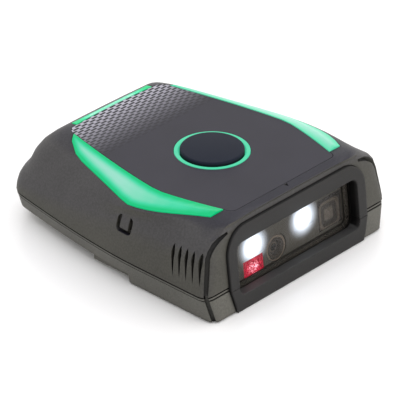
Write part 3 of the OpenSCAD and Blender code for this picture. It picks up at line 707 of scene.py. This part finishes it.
@dataclass(frozen=True)
class FramedFilter:
    """Sensor filter: a paler rounded frame round a dark field with a faint inner square."""

    name: str
    centre: Spot = (0.0, 0.0)
    half_mm: float = 3.0
    squareness: float = 5.0
    bands: tuple[tuple[float, Colour], ...] = (
        (0.0, (0.42, 0.36, 0.3)),
        (0.36, (0.36, 0.3, 0.25)),
        (0.46, (0.1, 0.085, 0.07)),
        (0.7, (0.1, 0.085, 0.07)),
        (0.78, (0.36, 0.29, 0.23)),
        (0.9, (0.3, 0.24, 0.19)),
        (1.0, (0.04, 0.035, 0.03)),
    )
    dust: float = 0.1
    dust_mm: float = 0.4
    roughness: float = 0.275
    shine_range: float = 0.075

    def build(self) -> bpy.types.Material:
        """Builds the material.

        Returns:
            The finished material.
        """
        make = Recipe(self.name)
        half = (self.half_mm, self.half_mm)
        away = make.off_centre(make.axes(), self.centre, half, self.squareness, clamp=True)
        dust = make.noise(mm(self.dust_mm))
        return make.surface(
            Base_Color=make.dim(make.ramp(away, self.bands), make.vary(dust, 1.0, self.dust)),
            Roughness=make.vary(dust, self.roughness, self.shine_range),
        )


@dataclass(frozen=True)
class TintedGlass:
    """Dark see-through window glass with a faint smear in its gloss."""

    name: str
    colour: Colour
    opacity: float = 0.36
    smear: float = 0.1
    smear_mm: float = 6.0
    roughness: float = 0.05
    shine_range: float = 0.02

    def build(self) -> bpy.types.Material:
        """Builds the material.

        Returns:
            The finished material.
        """
        make = Recipe(self.name)
        smear = make.noise(mm(self.smear_mm), detail=3.0)
        return make.surface(
            Base_Color=make.dim(self.colour, make.vary(smear, 1.0, self.smear)),
            Alpha=self.opacity,
            Roughness=make.vary(smear, self.roughness, self.shine_range),
            Specular_IOR_Level=0.3,
        )


@dataclass(frozen=True)
class Metal:
    """Plain metal with fine scratches along one axis."""

    name: str
    colour: Colour
    roughness: float = 0.3
    shine_range: float = 0.08
    dull: float = 0.85
    scratches_per_mm: float = 1.2
    stretch: tuple[float, float, float] = (1.0, 12.0, 1.0)
    depth_mm: float = 0.003
    edge_mm: float = 0.08

    def build(self) -> bpy.types.Material:
        """Builds the material.

        Returns:
            The finished material.
        """
        make = Recipe(self.name)
        stretched = make.add("Mapping", {"Vector": make.place(), "Scale": self.stretch}).outputs[0]
        inputs = {"Vector": stretched, "Scale": per_mm(self.scratches_per_mm), "Detail": 3.0}
        lines = make.add("TexNoise", inputs).outputs["Fac"]
        dulled = tuple(channel * self.dull for channel in self.colour)
        return make.surface(
            Base_Color=make.ramp(lines, list(zip(make.NOISE, (dulled, self.colour)))),
            Metallic=1.0,
            Roughness=make.vary(lines, self.roughness, self.shine_range),
            Normal=make.bump(lines, mm(self.depth_mm), make.soft_edge(mm(self.edge_mm))),
        )


@dataclass
class Shading:
    """Smooth shading across the facets of a lofted form, with its real edges kept sharp."""

    angle_deg: float = 28.0
    group: bpy.types.NodeTree | None = field(default=None, init=False)

    def _tree(self) -> bpy.types.NodeTree:
        """Makes the node group that smooths by angle, once.

        Returns:
            The node group.
        """
        if self.group is not None:
            return self.group
        tree = bpy.data.node_groups.new("smooth_by_angle", "GeometryNodeTree")
        tree.interface.new_socket("Geometry", in_out="INPUT", socket_type="NodeSocketGeometry")
        tree.interface.new_socket("Geometry", in_out="OUTPUT", socket_type="NodeSocketGeometry")
        start = tree.nodes.new("NodeGroupInput")
        end = tree.nodes.new("NodeGroupOutput")
        faces = tree.nodes.new("GeometryNodeSetShadeSmooth")
        faces.domain = "FACE"
        edges = tree.nodes.new("GeometryNodeSetShadeSmooth")
        edges.domain = "EDGE"
        edges.inputs["Shade Smooth"].default_value = False
        angle = tree.nodes.new("GeometryNodeInputMeshEdgeAngle")
        sharp = tree.nodes.new("FunctionNodeCompare")
        sharp.operation = "GREATER_THAN"
        sharp.inputs[1].default_value = math.radians(self.angle_deg)
        for source, target in (
            (start.outputs[0], faces.inputs["Geometry"]),
            (faces.outputs[0], edges.inputs["Geometry"]),
            (angle.outputs["Unsigned Angle"], sharp.inputs[0]),
            (sharp.outputs[0], edges.inputs["Selection"]),
            (edges.outputs[0], end.inputs[0]),
        ):
            tree.links.new(source, target)
        self.group = tree
        return tree

    def apply(self, piece: bpy.types.Object) -> None:
        """Adds the weld and the smoothing to a piece.

        Args:
            piece: The piece.
        """
        weld = piece.modifiers.new("weld", "WELD")
        weld.merge_threshold = mm(WELD_MM)
        smooth = piece.modifiers.new("smooth", "NODES")
        smooth.node_group = self._tree()


SHADING = Shading()


def dress(node: str, material: bpy.types.Material) -> None:
    """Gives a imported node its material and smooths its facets.

    Args:
        node: Name of the node.
        material: Its material.
    """
    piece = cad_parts[node]
    piece.data.materials.clear()
    piece.data.materials.append(material)
    SHADING.apply(piece)
    LOG.info("dressed %s with %s", node, material.name)


@dataclass
class Housing:
    """The two moulded shells, the bezel in front and the seals."""

    shell: MouldedPlastic = MouldedPlastic(
        "shell_plastic",
        (0.048, 0.0465, 0.039),
        specular=0.26,
        # The sloping and top colours are painted light and painted shade on the one shell plastic
        shoulder_light_tint=(0.046, 0.0445, 0.046),
        top_shade_tint=(0.015, 0.0145, 0.023),
    )
    lower: MouldedPlastic = MouldedPlastic("lower_shell_plastic", (0.082, 0.08, 0.07))
    bezel: BezelPlastic = BezelPlastic(
        "bezel_plastic",
        (0.014, 0.0135, 0.0135),
        Grain.FINE,
        0.5,
        specular=0.22,
        edge_mm=0.45,
        crevice_shade_mm=0.3,
    )
    seal: MouldedPlastic = MouldedPlastic(
        "seal_rubber", (0.004, 0.004, 0.004), Grain.FINE, 0.7, specular=0.1
    )
    window_seal: MouldedPlastic = MouldedPlastic("window_seal", (0.33, 0.3, 0.25), Grain.FINE, 0.6)
    sill_over_glass_mm: float = 1.3

    def _fitted_bezel(self) -> BezelPlastic:
        """Fits the bezel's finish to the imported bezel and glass.

        Returns:
            The finish with the places of its face and its sill.
        """
        _, foremost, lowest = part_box("bezel_lower")[0]
        return replace(
            self.bezel,
            face_y=foremost + (self.bezel.lean_z - lowest) * self.bezel.lean,
            sill_z=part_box("scan_window")[0][2] + mm(self.sill_over_glass_mm),
        )

    def build(self) -> None:
        """Dresses the shells, the bezel and the seals."""
        dress("upper_shell", self.shell.build())
        dress("lower_shell", self.lower.build())
        bezel = self._fitted_bezel().build()
        dress("bezel_upper", bezel)
        dress("bezel_lower", bezel)
        dress("seam_gasket", self.seal.build())
        dress("window_gasket", self.window_seal.build())


def ends_of(mesh: bmesh.types.BMesh, axis: int) -> tuple[float, float]:
    """Returns the lowest and highest place of a mesh along an axis."""
    places = [v.co[axis] for v in mesh.verts]
    return min(places), max(places)


@dataclass(frozen=True)
class GlowingPiece:
    """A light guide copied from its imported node, with its glow kept on a fine mesh.

    The glow grows from the rim of the top face to reach_mm inside it. It starts from least, a
    share of what it reaches. What it reaches grows from front_share at the front end to 1 in the
    middle of the part, or over ends_mm from each end of a piece that lies across.
    """

    node: str
    reach_mm: float = 1.9
    fineness_mm: float = 0.5
    least: float = 0.0
    front_share: float = 1.0
    ends_mm: float = 0.0
    top_slope: float = 0.5
    most_cuts: int = 7
    rim_points: int = 3

    def _on_top(self, face: bmesh.types.BMFace) -> bool:
        """Returns whether a face looks upwards."""
        return face.normal.z > self.top_slope

    def _refine(self, mesh: bmesh.types.BMesh) -> None:
        """Cuts the long edges of the top face until they are short.

        Args:
            mesh: The mesh that is cut.
        """
        for _ in range(self.most_cuts):
            bmesh.ops.triangulate(mesh, faces=mesh.faces[:])
            mesh.normal_update()
            top_edges = [e for e in mesh.edges if any(self._on_top(f) for f in e.link_faces)]
            long_edges = [e for e in top_edges if e.calc_length() > mm(self.fineness_mm)]
            if not long_edges:
                break
            bmesh.ops.subdivide_edges(mesh, edges=long_edges, cuts=1)
        bmesh.ops.triangulate(mesh, faces=mesh.faces[:])
        mesh.normal_update()

    def _rim(self, mesh: bmesh.types.BMesh) -> KDTree:
        """Finds points close together along the rim of the top face.

        Args:
            mesh: The refined mesh.

        Returns:
            The points, ready to be searched.
        """
        points = []
        for edge in mesh.edges:
            sides = {self._on_top(f) for f in edge.link_faces}
            if len(sides) == 2:
                a, b = (v.co for v in edge.verts)
                points += [a.lerp(b, step / self.rim_points) for step in range(self.rim_points)]
        tree = KDTree(len(points))
        for index, point in enumerate(points):
            tree.insert(point, index)
        tree.balance()
        return tree

    def _glow(self, mesh: bmesh.types.BMesh) -> list[float]:
        """Works out how brightly each vertex glows.

        Args:
            mesh: The refined mesh.

        Returns:
            The glow of each vertex, from 0 to 1.
        """
        rim = self._rim(mesh)
        left, right = ends_of(mesh, 0)
        front = ends_of(mesh, 1)[0]
        glow = []
        for vertex in mesh.verts:
            on_top = any(self._on_top(f) for f in vertex.link_faces)
            inner = ease(past(0.0, mm(self.reach_mm), rim.find(vertex.co)[2])) if on_top else 0.0
            if self.ends_mm:
                from_end = min(vertex.co.x - left, right - vertex.co.x)
                reached = ease(past(0.0, mm(self.ends_mm), from_end))
            else:
                reached = mix(self.front_share, 1.0, past(front, 0.0, vertex.co.y))
            glow.append(mix(self.least * reached, reached, inner))
        return glow

    def build(self, material: bpy.types.Material) -> None:
        """Makes the piece, which rides on the housing in place of its node.

        Args:
            material: The light guide's material.
        """
        refined = bmesh.new()
        refined.from_mesh(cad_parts[self.node].data)
        bmesh.ops.remove_doubles(refined, verts=refined.verts[:], dist=mm(WELD_MM))
        self._refine(refined)
        glow = self._glow(refined)
        mesh = bpy.data.meshes.new(f"{self.node}_lit")
        refined.to_mesh(mesh)
        refined.free()
        mesh.attributes.new(GLOW_LAYER, "FLOAT", "POINT").data.foreach_set("value", glow)
        mesh.materials.append(material)
        piece = bpy.data.objects.new(f"{self.node}_lit", mesh)
        bpy.context.scene.collection.objects.link(piece)
        SHADING.apply(piece)
        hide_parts(self.node)
        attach(piece, HOUSING)
        LOG.info("lit %s with %d faces", self.node, len(mesh.polygons))


@dataclass
class TopDeck:
    """The top panel, the light strips, the light ring and the trigger button."""

    film: DashedFilm = DashedFilm(
        "panel_film", (0.0165, 0.0155, 0.025), Grain.SATIN, 0.55, specular=0.22
    )
    soft: MouldedPlastic = MouldedPlastic(
        "button_rubber", (0.005, 0.008, 0.018), Grain.FINE, 0.6, specular=0.12, edge_mm=0.3
    )
    guide: LitGuide = LitGuide("light_guide")
    rear_guide: LitGuide = LitGuide("rear_light_guide", core=(0.62, 0.9, 0.8), strength=0.75)
    left: GlowingPiece = GlowingPiece("light_strip_left", front_share=0.15)
    right: GlowingPiece = GlowingPiece("light_strip_right", least=0.5)
    rear: GlowingPiece = GlowingPiece(
        "light_strip_rear", reach_mm=0.45, fineness_mm=0.16, least=0.5, ends_mm=6.0
    )
    ring: GlowingPiece = GlowingPiece("button_ring", reach_mm=2.4, fineness_mm=0.4, least=0.45)

    def build(self) -> None:
        """Dresses everything on the top."""
        dress("top_panel", self.film.build())
        dress("trigger_button", self.soft.build())
        guide = self.guide.build()
        self.left.build(guide)
        self.right.build(guide)
        self.rear.build(self.rear_guide.build())
        self.ring.build(guide)


def middle_of(node: str) -> Spot:
    """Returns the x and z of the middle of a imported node."""
    low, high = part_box(node)
    return (low[0] + high[0]) / 2, (low[2] + high[2]) / 2


@dataclass
class ScanWindow:
    """The glass and what shows of the scan engine behind it."""

    glass: TintedGlass = TintedGlass("window_glass", (0.02, 0.018, 0.016))
    chassis: MouldedPlastic = MouldedPlastic("engine_paint", (0.05, 0.05, 0.055), Grain.FINE, 0.5)
    plate: SpillPlate = SpillPlate(
        "engine_plate", (0.22, 0.205, 0.172), Grain.SATIN, 0.5, crevice_shade_mm=0.3
    )
    lens: RingedLens = RingedLens("lens_barrel")
    sensor: FramedFilter = FramedFilter("sensor_filter")
    sensor_drop_mm: float = 0.6
    white: Lamp = Lamp("white_lamp", (0.8, 0.88, 1.0), 6.0, (4.5, 4.2), focus=2.4)
    white_half_mm: float = 2.6
    red: Lamp = Lamp(
        "red_lamp",
        (0.62, 0.0, 0.035),
        2.6,
        (2.4, 2.0),
        floor=0.4,
        sparkle=0.8,
        core=(1.0, 0.5, 0.6),
    )

    def _white_spots(self) -> tuple[Spot, Spot]:
        """Finds the middles of the two white lamps, which are one node.

        Returns:
            The left and the right middle.
        """
        low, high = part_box("illuminators")
        height, inset = (low[2] + high[2]) / 2, mm(self.white_half_mm)
        return (low[0] + inset, height), (high[0] - inset, height)

    def build(self) -> None:
        """Dresses the glass and the engine."""
        white = replace(self.white, centres=self._white_spots())
        red = replace(self.red, centres=(middle_of("aimer_lens"),))
        x, z = middle_of("range_sensor")
        sensor = replace(self.sensor, centre=(x, z - mm(self.sensor_drop_mm)))
        lens = replace(self.lens, centre=middle_of("camera_lens"))
        for node, finish in (
            ("scan_window", self.glass),
            ("engine_chassis", self.chassis),
            ("engine_face", replace(self.plate, lamp=white)),
            ("illuminators", white),
            ("aimer_lens", red),
            ("camera_lens", lens),
            ("range_sensor", sensor),
        ):
            dress(node, finish.build())


@dataclass
class InnerParts:
    """What lies inside the housing or shows only underneath."""

    finishes: dict[str, MouldedPlastic | Metal] = field(
        default_factory=lambda: {
            "main_board": MouldedPlastic("board_mask", (0.02, 0.13, 0.06), Grain.SATIN, 0.35),
            "battery": Metal("cell_foil", (0.62, 0.62, 0.64), 0.35),
            "trigger_switch": Metal("switch_steel", (0.62, 0.62, 0.63)),
            "radio_module": Metal("module_can", (0.66, 0.66, 0.67), 0.25),
            "vibration_motor": Metal("motor_can", (0.6, 0.6, 0.62), 0.3),
            "buzzer": MouldedPlastic("buzzer_case", (0.03, 0.03, 0.03), Grain.FINE),
            "nfc_coil": MouldedPlastic("coil_film", (0.5, 0.23, 0.05), Grain.SATIN, 0.35),
            "engine_flex": MouldedPlastic("flex_film", (0.55, 0.25, 0.05), Grain.SATIN, 0.35),
            "flex_connector": MouldedPlastic("flex_nylon", (0.75, 0.7, 0.58), Grain.FINE),
            "battery_plug": MouldedPlastic("plug_nylon", (0.8, 0.76, 0.62), Grain.FINE),
            "strip_leds": MouldedPlastic("diode_case", (0.85, 0.85, 0.75), Grain.SATIN, 0.3),
            "contact_block": MouldedPlastic("contact_block", (0.03, 0.03, 0.03), Grain.FINE),
            "contact_pins": Metal("contact_gold", (0.85, 0.62, 0.22), 0.22),
            "housing_screws": Metal("screw_zinc", (0.5, 0.5, 0.52), 0.35),
        }
    )

    def build(self) -> None:
        """Dresses each inner node."""
        for node, finish in self.finishes.items():
            dress(node, finish.build())


@dataclass(frozen=True)
class Sky:
    """White surroundings that are brighter towards the horizon and towards +X."""

    horizon: Colour = (1.75, 1.72, 1.62)
    zenith: Colour = (1.12, 1.11, 1.14)
    heights: tuple[float, float] = (0.05, 0.75)
    left_share: float = 0.68

    def build(self) -> None:
        """Surrounds the scene."""
        world = bpy.data.worlds.new("studio")
        world.use_nodes = True
        nodes, links = world.node_tree.nodes, world.node_tree.links
        split = nodes.new("ShaderNodeSeparateXYZ")
        links.new(nodes.new("ShaderNodeTexCoord").outputs["Generated"], split.inputs[0])
        ramp = nodes.new("ShaderNodeValToRGB")
        for element, height, colour in zip(
            ramp.color_ramp.elements, self.heights, (self.horizon, self.zenith)
        ):
            element.position, element.color = height, (*colour, 1)
        sides = nodes.new("ShaderNodeMapRange")
        sides.inputs["From Min"].default_value = -1.0
        sides.inputs["To Min"].default_value = self.left_share
        sides.inputs["To Max"].default_value = 2 - self.left_share
        background = nodes["Background"]
        for source, target in (
            (split.outputs["Z"], ramp.inputs["Fac"]),
            (ramp.outputs["Color"], background.inputs["Color"]),
            (split.outputs["X"], sides.inputs["Value"]),
            (sides.outputs["Result"], background.inputs["Strength"]),
        ):
            links.new(source, target)
        bpy.context.scene.world = world


@dataclass(frozen=True)
class Floor:
    """Plain pale floor."""

    colour: Colour = (0.915, 0.915, 0.915)
    half_width: float = 3.0
    dullest: float = 0.99
    cloud_size: float = 0.3

    def build(self) -> None:
        """Lays the floor."""
        make = Recipe("floor_white")
        duller = tuple(channel * self.dullest for channel in self.colour)
        shades = list(zip(make.NOISE, (duller, self.colour)))
        material = make.surface(
            Base_Color=make.ramp(make.noise(self.cloud_size), shades),
            Roughness=0.3,
            Specular_IOR_Level=0.3,
        )
        mesh = bpy.data.meshes.new("floor")
        half = self.half_width
        corners = [(-half, -half, 0), (half, -half, 0), (half, half, 0), (-half, half, 0)]
        mesh.from_pydata(corners, [], [(0, 1, 2, 3)])
        mesh.materials.append(material)
        floor = bpy.data.objects.new("floor", mesh)
        bpy.context.scene.collection.objects.link(floor)


@dataclass(frozen=True)
class SoftLamp:
    """Broad square lamp that points at the object."""

    name: str
    place: Point
    size: float
    watts: float
    colour: Colour = (1.0, 1.0, 1.0)

    def hang(self, target: Point) -> None:
        """Adds the lamp to the scene.

        Args:
            target: Point that it faces.
        """
        data = bpy.data.lights.new(self.name, "AREA")
        data.size = self.size
        data.energy = self.watts
        data.color = self.colour
        lamp = bpy.data.objects.new(self.name, data)
        lamp.location = self.place
        aim = Vector(target) - Vector(self.place)
        lamp.rotation_euler = aim.to_track_quat("-Z", "Y").to_euler()
        bpy.context.scene.collection.objects.link(lamp)


@dataclass(frozen=True)
class Viewpoint:
    """Where the camera stands, as angles round the point that it looks at."""

    azimuth_deg: float = -46.958
    elevation_deg: float = 30.386
    distance: float = 0.60716
    lens_mm: float = 291.59
    target: Point = (0.0, mm(-2.35), mm(6.0))

    def build(self) -> None:
        """Places the camera."""
        a, e = math.radians(self.azimuth_deg), math.radians(self.elevation_deg)
        back = Vector((math.sin(a) * math.cos(e), -math.cos(a) * math.cos(e), math.sin(e)))
        data = bpy.data.cameras.new("camera")
        data.lens = self.lens_mm
        data.clip_start, data.clip_end = 0.01, 20.0
        camera = bpy.data.objects.new("camera", data)
        camera.location = Vector(self.target) + back * self.distance
        camera.rotation_euler = (-back).to_track_quat("-Z", "Y").to_euler()
        bpy.context.scene.collection.objects.link(camera)
        bpy.context.scene.camera = camera


@dataclass(frozen=True)
class Bloom:
    """Halo that the lit diodes have in a camera."""

    threshold: float = 2.0
    strength: float = 0.45
    size: float = 0.22

    def build(self) -> None:
        """Adds the halo to the finished picture."""
        scene = bpy.context.scene
        scene.use_nodes = True
        tree = scene.node_tree
        tree.nodes.clear()
        picture = tree.nodes.new("CompositorNodeRLayers")
        glare = tree.nodes.new("CompositorNodeGlare")
        glare.glare_type = "BLOOM"
        glare.inputs["Threshold"].default_value = self.threshold
        glare.inputs["Strength"].default_value = self.strength
        glare.inputs["Size"].default_value = self.size
        result = tree.nodes.new("CompositorNodeComposite")
        tree.links.new(picture.outputs["Image"], glare.inputs["Image"])
        tree.links.new(glare.outputs["Image"], result.inputs["Image"])


@dataclass
class Studio:
    """Pale floor, soft light and the camera."""

    sky: Sky = Sky()
    floor: Floor = Floor()
    lamps: tuple[SoftLamp, ...] = (
        SoftLamp("fill", (0.45, -0.95, 0.16), 0.7, 3.0, (1.0, 0.94, 0.86)),
        SoftLamp("over", (-0.3, 0.1, 0.8), 0.5, 1.2),
    )
    view: Viewpoint = Viewpoint()
    bloom: Bloom = Bloom()

    def build(self) -> None:
        """Sets up the room."""
        bpy.context.scene.view_settings.view_transform = "Standard"
        self.sky.build()
        self.floor.build()
        for lamp in self.lamps:
            lamp.hang(self.view.target)
        self.view.build()
        self.bloom.build()


def main() -> None:
    """Dresses the scanner part by part and sets up the room."""
    logging.basicConfig(level=logging.INFO, format="%(name)s: %(message)s")
    for section in (Studio(), Housing(), TopDeck(), ScanWindow(), InnerParts()):
        section.build()


if __name__ == "__main__":
    main()
